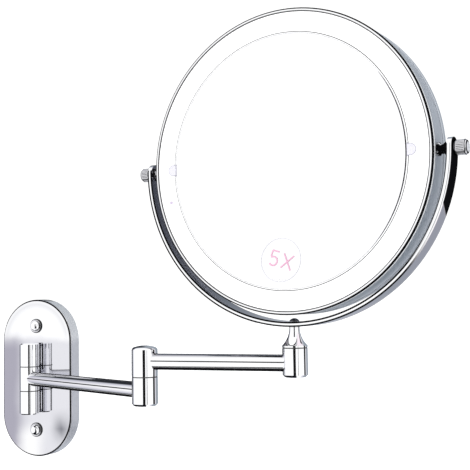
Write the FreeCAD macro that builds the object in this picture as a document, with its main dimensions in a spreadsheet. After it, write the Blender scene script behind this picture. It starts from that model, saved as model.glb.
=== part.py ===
"""Extendable wall mirror with a lit, double-sided round head on a folding two-part arm.

Frame: millimetres, +Z up, +Y into the wall, -Y out into the room. The origin is the centre of the
wall plate's back face. The rest pose has both arms partly opened and the head facing the room.
"""
import math
import os

import FreeCAD
import Part
import Sketcher
from FreeCAD import Placement, Rotation, Vector

DRIVING_SIZES = (
    ("plate_width", 72.5, "wall plate, side to side"),
    ("plate_height", 137.5, "wall plate, top to bottom"),
    ("plate_depth", 13.0, "wall plate, off the wall"),
    ("plate_wall", 1.6, "wall plate, shell thickness"),
    ("plate_edge", 1.5, "wall plate, round of the front edge"),
    ("boss_radius", 6.0, "wall plate, boss behind each wall screw"),
    ("wall_screw_spacing", 91.0, "between the two wall screws"),
    ("wall_screw_shank", 2.25, "wall screw, radius in the plate"),
    ("wall_screw_thread", 2.0, "wall screw, radius of the thread in the wall"),
    ("wall_screw_reach", 26.0, "wall screw, length behind the plate"),
    ("wall_screw_head", 4.6, "wall screw, radius of the domed head"),
    ("cup_washer_radius", 6.2, "washer under each wall screw"),
    ("cup_washer_height", 1.4, "washer under each wall screw"),
    ("bracket_screw_shank", 2.0, "knuckle screws, radius"),
    ("bracket_screw_grip", 5.0, "knuckle screws, length inside a knuckle"),
    ("hinge_standoff", 10.0, "hinge axis, in front of the plate"),
    ("knuckle_radius", 8.5, "wall hinge knuckles"),
    ("knuckle_half", 10.1, "half the height of the moving knuckle"),
    ("knuckle_top", 29.0, "top of the upper fixed knuckle"),
    ("hinge_cap_height", 2.0, "domed cap on each end of the hinge"),
    ("washer_thickness", 0.8, "friction washers in the hinges"),
    ("hinge_pin_radius", 3.0, "wall hinge pin"),
    ("running_clearance", 0.05, "radial clearance of every turning fit"),
    ("bracket_screw_height", 20.0, "fixed knuckle screws, above and below the middle"),
    ("tube_radius", 6.0, "both arm tubes, outside"),
    ("tube_wall", 1.2, "both arm tubes, wall"),
    ("lower_arm_length", 170.0, "wall hinge axis to elbow axis"),
    ("upper_arm_length", 118.0, "elbow axis to swivel axis"),
    ("arm_rise", 21.5, "upper arm above the lower arm"),
    ("socket_depth_radius", 5.0, "how near an axis a tube ends"),
    ("elbow_radius", 9.8, "elbow barrels"),
    ("elbow_split", 9.8, "top of the lower elbow barrel"),
    ("elbow_bottom", -9.4, "bottom of the lower elbow barrel"),
    ("elbow_top", 33.5, "top of the upper elbow barrel"),
    ("elbow_cap_height", 2.4, "domed caps under the elbow and the swivel"),
    ("elbow_pin_radius", 3.5, "elbow shoulder bolt"),
    ("elbow_bolt_head", 5.6, "elbow shoulder bolt, radius of its head"),
    ("elbow_bolt_seat", -7.0, "roof of the well that holds the bolt's head"),
    ("elbow_bolt_reach", 25.5, "top of the elbow shoulder bolt"),
    ("swivel_radius", 9.0, "swivel barrel"),
    ("swivel_bottom", 13.6, "bottom of the swivel barrel"),
    ("swivel_top", 31.9, "top of the swivel barrel"),
    ("swivel_stem_radius", 3.5, "stem of the neck inside the swivel barrel"),
    ("swivel_well", 3.6, "well under the swivel barrel"),
    ("swivel_screw_radius", 1.5, "screw in the foot of the stem"),
    ("swivel_screw_grip", 9.0, "screw in the foot of the stem, length inside it"),
    ("neck_radius", 3.7, "neck where it meets the yoke"),
    ("neck_bore", 2.0, "threaded hole in the top of the neck"),
    ("head_height", 163.3, "head centre above the lower arm"),
    ("yoke_inner", 115.0, "yoke, inside half width at the tilt axle"),
    ("yoke_drop", 112.7, "yoke, inside depth below the tilt axle"),
    ("yoke_thickness", 3.6, "yoke strip, thickness"),
    ("yoke_half_width", 7.3, "yoke strip, half its width"),
    ("head_radius", 108.0, "trim rings, outer radius"),
    ("head_front", 12.0, "front of the head, from the tilt axle"),
    ("head_back", -17.3, "back of the head, from the tilt axle"),
    ("trim_depth", 5.2, "visible depth of each trim ring"),
    ("band_outer", 107.2, "casing band, outer radius"),
    ("band_inner", 105.5, "casing band, inner radius"),
    ("lens_outer", 105.15, "light ring cover, outer radius"),
    ("lens_inner", 92.35, "light ring cover, inner radius"),
    ("lens_top", 11.4, "light ring cover, front face"),
    ("lens_thickness", 2.0, "light ring cover, thickness"),
    ("glass_radius", 90.1, "magnifying glass"),
    ("glass_curve", 640.0, "magnifying glass, radius of its hollow face"),
    ("glass_thickness", 2.2, "magnifying glass, thickness"),
    ("glass_rim_top", 11.6, "front of the glass at its edge"),
    ("tray_floor", -14.0, "back of the light tray"),
    ("tray_thickness", 1.2, "light tray, thickness of its floor"),
    ("glass_ledge", 7.0, "ledge that the glass carrier rests on"),
    ("board_thickness", 1.2, "light ring board"),
    ("lamp_side", 3.0, "small lamps, side of the square"),
    ("board_radius", 104.2, "light ring board, outer radius"),
    ("lamp_circle", 98.5, "circle of the small lamps"),
    ("lamp_count", 30.0, "small lamps on the board"),
    ("cell_radius", 5.25, "AAA cell"),
    ("cell_length", 44.5, "AAA cell"),
    ("cell_height", 47.0, "middle of the battery cradle above the tilt axle"),
    ("stud_radius", 2.45, "tilt axle studs"),
    ("spacer_radius", 4.5, "spacers between the head and the yoke"),
    ("tilt_washer_thickness", 0.7, "friction washers inside the yoke"),
    ("knob_washer_thickness", 1.2, "washers between the yoke and the knobs"),
    ("knob_radius", 5.2, "thumb knobs"),
    ("knob_length", 7.8, "thumb knobs"),
    ("knob_ridges", 28.0, "grooves round each thumb knob"),
    ("sticker_radius", 15.7, "magnification sticker"),
    ("sticker_thickness", 0.15, "magnification sticker"),
)

# Rest pose: turns of each link about its upright axis, in degrees, positive to the left
# when seen from above.
LOWER_ARM_TURN = -23.8
UPPER_ARM_TURN = 3.1
HEAD_TURN = -4.8

# Thickness of the foam tape behind the plain glass.
BACK_PAD = 0.3

# Marks an outline corner that is reached by an arc centred on the turning axis.
DOME = "dome"

document = FreeCAD.newDocument("ShavingMirror")
sheet = document.addObject("Spreadsheet::Sheet", "Sizes")


class Measure:
    """A length that knows both its value and the spreadsheet formula that gives it."""

    def __init__(self, value, formula):
        self.value = value
        self.formula = formula

    def joined(self, sign, other, value):
        return Measure(value, "(%s %s %s)" % (self.formula, sign, formula_of(other)))

    def __add__(self, other):
        return self.joined("+", other, self.value + value_of(other))

    def __sub__(self, other):
        return self.joined("-", other, self.value - value_of(other))

    def __mul__(self, other):
        return self.joined("*", other, self.value * value_of(other))

    def __truediv__(self, other):
        return self.joined("/", other, self.value / value_of(other))

    def root(self):
        return Measure(math.sqrt(self.value), "sqrt(%s)" % self.formula)

    def __neg__(self):
        return Measure(-self.value, "(-1 * %s)" % self.formula)


class Sizes:
    """The driving dimensions by name, each one a Measure."""


size = Sizes()


def value_of(length):
    return length.value if isinstance(length, Measure) else float(length)


def formula_of(length):
    return length.formula if isinstance(length, Measure) else repr(float(length))


def fill_sheet():
    for row, (alias, value, note) in enumerate(DRIVING_SIZES, start=1):
        sheet.set("A%d" % row, alias)
        sheet.set("B%d" % row, str(value))
        sheet.set("C%d" % row, note)
        sheet.setAlias("B%d" % row, alias)
    document.recompute()
    for alias, value, note in DRIVING_SIZES:
        setattr(size, alias, Measure(float(getattr(sheet, alias)), "Sizes." + alias))


def bind(target, property_name, length):
    """Set a property and tie it to the sheet when the length comes from there."""
    if isinstance(length, Measure):
        target.setExpression(property_name, length.formula)
    else:
        setattr(target, property_name, length)


# ---------------------------------------------------------------- sketches and features

def new_body(label, several=False):
    body = document.addObject("PartDesign::Body", label)
    body.Label = label
    body.AllowCompound = several
    return body


def origin_plane(body, role):
    for feature in body.Origin.OriginFeatures:
        if feature.Role == role:
            return feature
    raise ValueError(role)


def new_sketch(body, plane, offset=0.0):
    sketch = body.newObject("Sketcher::SketchObject", body.Label + "_sketch")
    sketch.AttachmentSupport = [(origin_plane(body, plane), "")]
    sketch.MapMode = "FlatFace"
    if isinstance(offset, Measure):
        sketch.setExpression(".AttachmentOffset.Base.z", offset.formula)
    else:
        sketch.AttachmentOffset = Placement(Vector(0, 0, offset), Rotation())
    return sketch


def hold_coordinate(sketch, geometry, point, axis, length):
    """Hold one point of a sketch at a distance from one of the sketch's axes."""
    kind, axis_line = {"x": ("DistanceX", -2), "y": ("DistanceY", -1)}[axis]
    if abs(value_of(length)) < 1e-9:
        sketch.addConstraint(Sketcher.Constraint("PointOnObject", geometry, point, axis_line))
        return
    held = Sketcher.Constraint(kind, -1, 1, geometry, point, value_of(length))
    index = sketch.addConstraint(held)
    if isinstance(length, Measure):
        sketch.setExpression("Constraints[%d]" % index, length.formula)


def hold_point(sketch, geometry, point, x, y):
    hold_coordinate(sketch, geometry, point, "x", x)
    hold_coordinate(sketch, geometry, point, "y", y)


def hold_radius(sketch, geometry, radius):
    index = sketch.addConstraint(Sketcher.Constraint("Radius", geometry, value_of(radius)))
    if isinstance(radius, Measure):
        sketch.setExpression("Constraints[%d]" % index, radius.formula)


def hold_arc_centre(sketch, geometry, start, end, bulge):
    """Fix an arc between two held ends by how far it bulges past its chord."""
    if bulge == DOME:
        hold_coordinate(sketch, geometry, 3, "x", 0.0)
        return
    across = as_measure(end[0]) - start[0]
    along_chord = as_measure(end[1]) - start[1]
    chord = (across * across + along_chord * along_chord).root()
    height = as_measure(bulge)
    offset = (height * height - chord * chord / 4.0) / (height * 2.0)
    if abs(across.value) > abs(along_chord.value):
        middle = (as_measure(start[1]) + end[1]) / 2.0
        hold_coordinate(sketch, geometry, 3, "y", middle + across / chord * offset)
    else:
        middle = (as_measure(start[0]) + end[0]) / 2.0
        hold_coordinate(sketch, geometry, 3, "x", middle - along_chord / chord * offset)


def as_measure(length):
    return length if isinstance(length, Measure) else Measure(float(length), formula_of(length))


def arc_middle(start, end, bulge):
    """The point halfway round an arc that bulges to the left of the way from start to end."""
    chord = end - start
    if bulge == DOME:
        height = (start.x ** 2 + start.y ** 2 - end.x ** 2 - end.y ** 2) / (2.0 * chord.y)
        centre = Vector(0, -height, 0)
        outwards = ((start - centre) + (end - centre)).normalize()
        return centre + outwards * (start - centre).Length
    left = Vector(-chord.y, chord.x, 0).normalize()
    return (start + end) * 0.5 + left * value_of(bulge)


def point_at(corner):
    return Vector(value_of(corner[0]), value_of(corner[1]), 0)


def add_outline(sketch, corners):
    """Closed outline. A corner is (x, y), or (x, y, bulge) when an arc leads to it.

    The bulge is a length, or DOME for an arc that is centred on the upright axis.
    """
    first = sketch.GeometryCount
    count = len(corners)
    ends = []
    for index, corner in enumerate(corners):
        following = corners[(index + 1) % count]
        start = point_at(corner)
        end = point_at(following)
        if len(following) == 3:
            middle = arc_middle(start, end, following[2])
            edge = sketch.addGeometry(Part.Arc(start, middle, end), False)
            forward = sketch.getPoint(edge, 1).distanceToPoint(start) < 1e-6
            ends.append((1, 2) if forward else (2, 1))
        else:
            sketch.addGeometry(Part.LineSegment(start, end), False)
            ends.append((1, 2))
    for index, corner in enumerate(corners):
        edge = first + index
        following = first + (index + 1) % count
        joint = (edge, ends[index][1], following, ends[(index + 1) % count][0])
        sketch.addConstraint(Sketcher.Constraint("Coincident", *joint))
        hold_point(sketch, edge, ends[index][0], corner[0], corner[1])
    for index, corner in enumerate(corners):
        following = corners[(index + 1) % count]
        if len(following) == 3:
            hold_arc_centre(sketch, first + index, corner, following, following[2])


def add_circle(sketch, x, y, radius):
    centre = Vector(value_of(x), value_of(y), 0)
    shape = Part.Circle(centre, Vector(0, 0, 1), value_of(radius))
    circle = sketch.addGeometry(shape, False)
    hold_point(sketch, circle, 3, x, y)
    hold_radius(sketch, circle, radius)


def add_box_outline(sketch, left, right, bottom, top):
    add_outline(sketch, ((left, bottom), (right, bottom), (right, top), (left, top)))


def pad(body, sketch, length, reverse=False, midplane=False):
    feature = body.newObject("PartDesign::Pad", body.Label + "_pad")
    feature.Profile = sketch
    bind(feature, "Length", length)
    feature.Reversed = reverse
    feature.Midplane = midplane
    document.recompute()
    return feature


def pocket(body, sketch, length, reverse=False, midplane=False):
    """Cut a pocket and make sure that it took something away."""
    before = body.Shape.Volume
    feature = body.newObject("PartDesign::Pocket", body.Label + "_pocket")
    feature.Profile = sketch
    bind(feature, "Length", length)
    feature.Reversed = reverse
    feature.Midplane = midplane
    document.recompute()
    if body.Shape.Volume >= before - 1e-6:
        raise ValueError("nothing was cut from " + body.Label)
    return feature


def round_edges(body, radius, chosen):
    """Fillet every edge of the body for which chosen(edge) is true."""
    base = body.Tip
    names = []
    for index, edge in enumerate(base.Shape.Edges, start=1):
        if chosen(edge):
            names.append("Edge%d" % index)
    if not names:
        raise ValueError("no edge to round on " + body.Label)
    feature = body.newObject("PartDesign::Fillet", body.Label + "_round")
    feature.Base = (base, names)
    bind(feature, "Radius", radius)
    document.recompute()
    return feature


def turned(label, corners, several=False):
    """A body turned about its own Z axis from a closed (radius, height) outline."""
    body = new_body(label, several)
    sketch = new_sketch(body, "XZ_Plane")
    add_outline(sketch, corners)
    turn = body.newObject("PartDesign::Revolution", label + "_turn")
    turn.Profile = sketch
    turn.ReferenceAxis = (sketch, ["V_Axis"])
    turn.Angle = 360.0
    document.recompute()
    return body


def turned_ring(label, inner, outer, bottom, top):
    return turned(label, ((inner, bottom), (outer, bottom), (outer, top), (inner, top)))


def turned_disc(label, radius, bottom, top):
    return turned_ring(label, 0.0, radius, bottom, top)


def cross_holes(body, plane, holes, reach, offset=0.0, reverse=False, midplane=False):
    """Round holes, each (x, y, radius), cut square to one of the body's planes."""
    sketch = new_sketch(body, plane, offset)
    for x, y, radius in holes:
        add_circle(sketch, x, y, radius)
    return pocket(body, sketch, reach, reverse, midplane)


def repeated_round(body, feature, count):
    """Repeat a feature evenly round the body's Z axis."""
    pattern = body.newObject("PartDesign::PolarPattern", body.Label + "_pattern")
    pattern.Originals = [feature]
    pattern.Axis = (origin_plane(body, "Z_Axis"), [""])
    pattern.Angle = 360.0
    bind(pattern, "Occurrences", count)
    body.Tip = pattern
    document.recompute()
    return pattern


def solid_box(label, corner, lengths):
    box = document.addObject("Part::Box", label)
    for name, length in zip(("Length", "Width", "Height"), lengths):
        bind(box, name, length)
    box.Placement = Placement(Vector(*[value_of(part) for part in corner]), Rotation())
    return box


def solid_rod(label, radius, length):
    rod = document.addObject("Part::Cylinder", label)
    bind(rod, "Radius", radius)
    bind(rod, "Height", length)
    return rod


def grouped(label, members):
    group = document.addObject("Part::Compound", label)
    group.Links = members
    return group


# ---------------------------------------------------------------- frames

def turned_about_z(angle):
    return Rotation(Vector(0, 0, 1), angle)


def along(direction):
    """Rotation that lays a piece's own Z axis along a direction."""
    return Rotation(Vector(0, 0, 1), direction)


class Frames:
    """Where each link of the mirror sits in the rest pose."""

    def __init__(self):
        hinge_y = -size.plate_depth.value - size.hinge_standoff.value
        self.hinge = Placement(Vector(0, hinge_y, 0), turned_about_z(0))
        lower_turn = turned_about_z(LOWER_ARM_TURN)
        upper_turn = turned_about_z(UPPER_ARM_TURN)
        head_turn = turned_about_z(HEAD_TURN)
        lower_reach = Vector(size.lower_arm_length.value, 0, 0)
        upper_reach = Vector(size.upper_arm_length.value, 0, 0)
        elbow = self.hinge.Base + lower_turn.multVec(lower_reach)
        swivel = elbow + upper_turn.multVec(upper_reach)
        self.lower_arm = Placement(self.hinge.Base, lower_turn)
        self.lower_elbow = Placement(elbow, lower_turn)
        self.upper_arm = Placement(elbow, upper_turn)
        self.upper_swivel = Placement(swivel, upper_turn)
        self.swivel = Placement(swivel, head_turn)
        centre = swivel + Vector(0, 0, size.head_height.value)
        facing = Rotation(Vector(1, 0, 0), 90)
        self.head = Placement(centre, head_turn.multiply(facing))


def placed(frame, piece, shift=Vector(0, 0, 0), spin=Rotation()):
    """Move a piece into a frame, after its own shift and spin inside that frame."""
    piece.Placement = frame.multiply(Placement(shift, spin))
    return piece


WALL = Placement(Vector(0, 0, 0), Rotation())
OUTWARD = Rotation(Vector(1, 0, 0), 90)
TURN_OVER = Rotation(Vector(1, 0, 0), 180)


# ---------------------------------------------------------------- wall plate and hinge

def obround(sketch, half_width, half_height):
    straight = half_height - half_width
    corners = (
        (half_width, straight),
        (-half_width, straight, -half_width),
        (-half_width, -straight),
        (half_width, -straight, -half_width),
    )
    add_outline(sketch, corners)


def make_wall_plate():
    """Die-cast shell, open at the back, with two bosses that carry the wall screws."""
    body = new_body("wall_plate")
    outside = new_sketch(body, "XZ_Plane")
    obround(outside, size.plate_width / 2.0, size.plate_height / 2.0)
    pad(body, outside, size.plate_depth)
    depth = size.plate_depth.value

    def on_front(edge):
        return all(abs(vertex.Point.y + depth) < 1e-3 for vertex in edge.Vertexes)

    round_edges(body, size.plate_edge, on_front)
    inside = new_sketch(body, "XZ_Plane")
    inner_half_width = size.plate_width / 2.0 - size.plate_wall
    inner_half_height = size.plate_height / 2.0 - size.plate_wall
    obround(inside, inner_half_width, inner_half_height)
    inner_depth = size.plate_depth - size.plate_wall
    pocket(body, inside, inner_depth, reverse=True)
    screw_height = size.wall_screw_spacing / 2.0
    bosses = new_sketch(body, "XZ_Plane")
    add_circle(bosses, 0.0, screw_height, size.boss_radius)
    add_circle(bosses, 0.0, -screw_height, size.boss_radius)
    pad(body, bosses, inner_depth)
    wall_hole = size.wall_screw_shank + 0.25
    bracket_hole = size.bracket_screw_shank + 0.2
    holes = (
        (0.0, screw_height, wall_hole),
        (0.0, -screw_height, wall_hole),
        (0.0, size.bracket_screw_height, bracket_hole),
        (0.0, -size.bracket_screw_height, bracket_hole),
    )
    cross_holes(body, "XZ_Plane", holes, size.plate_depth, reverse=True)
    return placed(WALL, body)


def make_wall_screws():
    """Two screws with domed heads. The thread is thinner than the shank in the plate."""
    washer_top = size.plate_depth + size.cup_washer_height
    neck_top = washer_top + 1.2
    dome_top = washer_top + 4.6
    point = size.wall_screw_reach
    screws = []
    for name, side in (("upper", 1.0), ("lower", -1.0)):
        corners = (
            (0.0, -point),
            (0.4, -point),
            (size.wall_screw_thread, -(point - 4.0)),
            (size.wall_screw_thread, -0.3),
            (size.wall_screw_shank, -0.3),
            (size.wall_screw_shank, washer_top),
            (size.wall_screw_head, washer_top),
            (size.wall_screw_head, neck_top),
            (0.0, dome_top, DOME),
        )
        screw = turned("wall_screw_" + name, corners)
        shift = Vector(0, 0, side * size.wall_screw_spacing.value / 2.0)
        screws.append(placed(WALL, screw, shift, OUTWARD))
    return grouped("wall_screws", screws)


def make_screw_washers():
    """A cup washer under each domed head."""
    washers = []
    bore = size.wall_screw_shank + 0.1
    top = size.plate_depth + size.cup_washer_height
    for name, side in (("upper", 1.0), ("lower", -1.0)):
        corners = (
            (bore, size.plate_depth),
            (size.cup_washer_radius, size.plate_depth),
            (size.cup_washer_radius, top - 0.7),
            (size.cup_washer_radius - 0.7, top),
            (bore, top),
        )
        washer = turned("screw_washer_" + name, corners)
        shift = Vector(0, 0, side * size.wall_screw_spacing.value / 2.0)
        washers.append(placed(WALL, washer, shift, OUTWARD))
    return grouped("screw_washers", washers)


def make_fixed_knuckle(label, side, frames):
    """A fixed hinge knuckle with the foot that seats on the wall plate."""
    bottom = size.knuckle_half + size.washer_thickness
    body = turned_ring(label, size.hinge_pin_radius, size.knuckle_radius, bottom, size.knuckle_top)
    foot = new_sketch(body, "XZ_Plane", -size.hinge_standoff)
    half_foot = 4.0
    add_box_outline(foot, -half_foot, half_foot, bottom + 1.5, size.knuckle_top - 1.5)
    pad(body, foot, size.hinge_standoff - size.hinge_pin_radius - 1.5)
    thread_depth = size.bracket_screw_grip + 0.2
    hole = ((0.0, size.bracket_screw_height, size.bracket_screw_shank),)
    cross_holes(body, "XZ_Plane", hole, thread_depth, -size.hinge_standoff, reverse=True)
    spin = Rotation() if side > 0 else Rotation(Vector(0, 1, 0), 180)
    return placed(frames.hinge, body, Vector(0, 0, 0), spin)


def make_bracket_screws():
    """Screws from inside the plate that hold the fixed knuckles."""
    inner_face = size.plate_depth - size.plate_wall
    head_radius = 3.6
    head_bottom = inner_face - 2.4
    tip = size.plate_depth + size.bracket_screw_grip
    screws = []
    for name, side in (("upper", 1.0), ("lower", -1.0)):
        corners = (
            (0.0, head_bottom),
            (head_radius, head_bottom),
            (head_radius, inner_face),
            (size.bracket_screw_shank, inner_face),
            (size.bracket_screw_shank, tip),
            (0.0, tip),
        )
        screw = turned("bracket_screw_" + name, corners)
        shift = Vector(0, 0, side * size.bracket_screw_height.value)
        screws.append(placed(WALL, screw, shift, OUTWARD))
    return grouped("bracket_screws", screws)


def make_hinge_pin(frames):
    rod = solid_rod("hinge_pin", size.hinge_pin_radius, size.knuckle_top * 2.0)
    return placed(frames.hinge, rod, Vector(0, 0, -size.knuckle_top.value))


def make_hinge_washers(frames):
    inner = size.hinge_pin_radius + size.running_clearance
    outer = size.knuckle_radius - 0.25
    bottom = size.knuckle_half
    washers = []
    for name, spin in (("upper", Rotation()), ("lower", TURN_OVER)):
        top = bottom + size.washer_thickness
        washer = turned_ring("hinge_washer_" + name, inner, outer, bottom, top)
        washers.append(placed(frames.hinge, washer, Vector(0, 0, 0), spin))
    return grouped("hinge_washers", washers)


def domed_cap(label, radius, bottom, top, edge):
    """A low cap with a bevelled edge and a slightly domed face."""
    corners = (
        (0.0, bottom),
        (radius, bottom),
        (radius, top - edge * 1.4),
        (radius - edge, top - edge * 0.4),
        (0.0, top, DOME),
    )
    return turned(label, corners)


def make_hinge_caps(frames):
    caps = []
    top = size.knuckle_top + size.hinge_cap_height
    for name, spin in (("upper", Rotation()), ("lower", TURN_OVER)):
        cap = domed_cap("hinge_cap_" + name, size.knuckle_radius, size.knuckle_top, top, 0.9)
        caps.append(placed(frames.hinge, cap, Vector(0, 0, 0), spin))
    return grouped("hinge_caps", caps)


# ---------------------------------------------------------------- arms

def tube_socket(body, side, height, start):
    """Round socket for an arm tube, cut outwards from near the axis on one side."""
    reach = 8.0
    hole = ((0.0, height, size.tube_radius),)
    offset = start if side > 0 else -start
    return cross_holes(body, "YZ_Plane", hole, reach, offset, reverse=side > 0)


def make_moving_knuckle(frames):
    bore = size.hinge_pin_radius + size.running_clearance
    half = size.knuckle_half
    body = turned_ring("lower_arm_knuckle", bore, size.knuckle_radius, -half, half)
    tube_socket(body, 1, 0.0, size.socket_depth_radius)
    return placed(frames.lower_arm, body)


def make_arm_tube(label, frame, length, height):
    inner = size.tube_radius - size.tube_wall
    reach = length - size.socket_depth_radius * 2.0
    tube = turned_ring(label, inner, size.tube_radius, 0.0, reach)
    shift = Vector(size.socket_depth_radius.value, 0, value_of(height))
    return placed(frame, tube, shift, along(Vector(1, 0, 0)))


def make_elbow_lower_barrel(frames):
    bore = size.elbow_pin_radius + size.running_clearance
    well = size.elbow_bolt_head + 0.9
    ceiling = size.elbow_bolt_seat
    corners = (
        (well, size.elbow_bottom),
        (size.elbow_radius, size.elbow_bottom),
        (size.elbow_radius, size.elbow_split),
        (bore, size.elbow_split),
        (bore, ceiling),
        (well, ceiling),
    )
    body = turned("elbow_lower_barrel", corners)
    tube_socket(body, -1, 0.0, size.socket_depth_radius)
    return placed(frames.lower_elbow, body)


def make_elbow_cap(frames):
    cap = domed_cap("elbow_cap", size.elbow_radius, 0.0, size.elbow_cap_height, 1.6)
    return placed(frames.lower_elbow, cap, Vector(0, 0, size.elbow_bottom.value), TURN_OVER)


def make_elbow_washer(frames):
    inner = size.elbow_pin_radius + size.running_clearance
    bottom = size.elbow_split
    top = bottom + size.washer_thickness
    washer = turned_ring("elbow_washer", inner, size.elbow_radius - 0.25, bottom, top)
    return placed(frames.lower_elbow, washer)


def make_elbow_upper_barrel(frames):
    bottom = size.elbow_split + size.washer_thickness
    edge = 2.0
    corners = (
        (size.elbow_pin_radius, bottom),
        (size.elbow_radius, bottom),
        (size.elbow_radius, size.elbow_top - edge * 1.6),
        (size.elbow_radius - edge, size.elbow_top - edge * 0.6, -0.35),
        (0.0, size.elbow_top, DOME),
        (0.0, size.elbow_bolt_reach),
        (size.elbow_pin_radius, size.elbow_bolt_reach),
    )
    body = turned("elbow_upper_barrel", corners)
    tube_socket(body, 1, size.arm_rise, size.socket_depth_radius)
    return placed(frames.upper_arm, body)


def make_elbow_pin(frames):
    """Shoulder bolt: its head is in the lower barrel's well, its thread in the upper barrel."""
    head_top = size.elbow_bolt_seat - 0.5
    head_bottom = head_top - 1.7
    corners = (
        (0.0, head_bottom),
        (size.elbow_bolt_head, head_bottom),
        (size.elbow_bolt_head, head_top),
        (size.elbow_pin_radius, head_top),
        (size.elbow_pin_radius, size.elbow_bolt_reach),
        (0.0, size.elbow_bolt_reach),
    )
    return placed(frames.upper_arm, turned("elbow_pin", corners))


def make_elbow_spring_washer(frames):
    """Slightly coned washer that gives the elbow its friction."""
    inner = size.elbow_pin_radius + 0.2
    seat = size.elbow_bolt_seat
    corners = (
        (inner, seat - 0.4),
        (size.elbow_bolt_head, seat - 0.5),
        (size.elbow_bolt_head, seat - 0.15),
        (inner, seat),
    )
    return placed(frames.upper_arm, turned("elbow_spring_washer", corners))


def make_swivel_barrel(frames):
    bore = size.swivel_stem_radius + size.running_clearance
    well = size.socket_depth_radius - 0.3
    ceiling = size.swivel_bottom + size.swivel_well
    corners = (
        (well, size.swivel_bottom),
        (size.swivel_radius, size.swivel_bottom),
        (size.swivel_radius, size.swivel_top),
        (bore, size.swivel_top),
        (bore, ceiling),
        (well, ceiling),
    )
    body = turned("swivel_barrel", corners)
    tube_socket(body, -1, size.arm_rise, size.socket_depth_radius)
    return placed(frames.upper_swivel, body)


def make_swivel_cap(frames):
    cap = domed_cap("swivel_cap", size.swivel_radius, 0.0, size.elbow_cap_height, 1.6)
    return placed(frames.upper_swivel, cap, Vector(0, 0, size.swivel_bottom.value), TURN_OVER)


def make_swivel_washer(frames):
    inner = size.swivel_stem_radius + size.running_clearance
    bottom = size.swivel_top
    top = bottom + size.washer_thickness
    washer = turned_ring("swivel_washer", inner, size.swivel_radius - 0.25, bottom, top)
    return placed(frames.upper_swivel, washer)


# ---------------------------------------------------------------- swivel neck and yoke

def make_swivel_neck(frames):
    """Bell-shaped neck under the yoke with the stem that turns in the swivel barrel."""
    foot = size.swivel_top + size.washer_thickness
    top = size.head_height - size.yoke_drop - size.yoke_thickness
    stem_bottom = size.swivel_bottom + size.swivel_well + 0.05
    thread_bottom = top - 9.0
    corners = (
        (size.swivel_screw_radius, stem_bottom),
        (size.swivel_stem_radius, stem_bottom),
        (size.swivel_stem_radius, foot),
        (size.swivel_radius, foot),
        (size.swivel_radius, foot + 1.2),
        (size.swivel_radius - 0.5, foot + 1.7),
        (size.neck_radius, top - 0.6, 1.25),
        (size.neck_radius, top),
        (size.neck_bore, top),
        (size.neck_bore, thread_bottom),
        (0.0, thread_bottom),
        (0.0, stem_bottom + size.swivel_screw_grip),
        (size.swivel_screw_radius, stem_bottom + size.swivel_screw_grip),
    )
    return placed(frames.swivel, turned("swivel_neck", corners))


def make_swivel_screw(frames):
    """Screw and wide head that keep the stem in the swivel barrel."""
    head_top = size.swivel_bottom + size.swivel_well - 0.4
    head_bottom = head_top - 2.4
    head_radius = 3.2
    tip = head_top + size.swivel_screw_grip
    corners = (
        (0.0, head_bottom),
        (head_radius, head_bottom),
        (head_radius, head_top),
        (size.swivel_screw_radius, head_top),
        (size.swivel_screw_radius, tip),
        (0.0, tip),
    )
    return placed(frames.swivel, turned("swivel_screw", corners))


def make_swivel_lock_washer(frames):
    top = size.swivel_bottom + size.swivel_well
    inner = size.swivel_screw_radius + 0.1
    outer = size.socket_depth_radius - 0.6
    washer = turned_ring("swivel_lock_washer", inner, outer, top - 0.4, top)
    return placed(frames.swivel, washer)


def make_yoke(frames):
    """U-shaped strip round the lower half of the head, with rounded ends at the tilt axle."""
    body = new_body("yoke")
    inner = size.yoke_inner
    outer = inner + size.yoke_thickness
    tip = size.yoke_half_width
    corners = (
        (outer, tip),
        (inner, tip),
        (inner, 0.0),
        (-inner, 0.0, size.yoke_drop),
        (-inner, tip),
        (-outer, tip),
        (-outer, 0.0),
        (outer, 0.0, -(size.yoke_drop + size.yoke_thickness)),
    )
    sketch = new_sketch(body, "XY_Plane")
    add_outline(sketch, corners)
    pad(body, sketch, size.yoke_half_width * 2.0, midplane=True)
    half_width = size.yoke_half_width.value

    def at_tip_corner(edge):
        middle = edge.CenterOfMass
        across = abs(abs(middle.z) - half_width) < 1e-3 and abs(middle.y - half_width) < 1e-3
        return across and edge.Length < 5.0

    round_edges(body, size.yoke_half_width - 0.2, at_tip_corner)
    axle_hole = ((0.0, 0.0, size.stud_radius + 0.25),)
    cross_holes(body, "YZ_Plane", axle_hole, outer * 2.1, midplane=True)
    neck_hole = ((0.0, 0.0, size.neck_bore + 0.1),)
    cross_holes(body, "XZ_Plane", neck_hole, outer * 1.1, reverse=True)
    return placed(frames.head, body)


def make_yoke_screw(frames):
    """Domed screw inside the yoke that clamps it to the neck."""
    tip = -(size.yoke_drop + size.yoke_thickness + 8.0)
    seat = -(size.yoke_drop - 0.1)
    shank = size.neck_bore - 0.05
    head_radius = 3.4
    corners = (
        (0.0, tip),
        (shank, tip),
        (shank, seat),
        (head_radius, seat),
        (head_radius, seat + 0.6),
        (0.0, seat + 2.3, DOME),
    )
    return placed(frames.head, turned("yoke_screw", corners), Vector(0, 0, 0), along(Vector(0, 1, 0)))


# ---------------------------------------------------------------- head

def make_casing_band(frames):
    bottom = size.head_back + size.trim_depth - 0.1
    top = size.head_front - size.trim_depth
    body = turned_ring("casing_band", size.band_inner, size.band_outer, bottom, top)
    hole = ((0.0, 0.0, size.stud_radius + 0.1),)
    cross_holes(body, "YZ_Plane", hole, size.band_outer * 2.2, midplane=True)
    return placed(frames.head, body)


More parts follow.
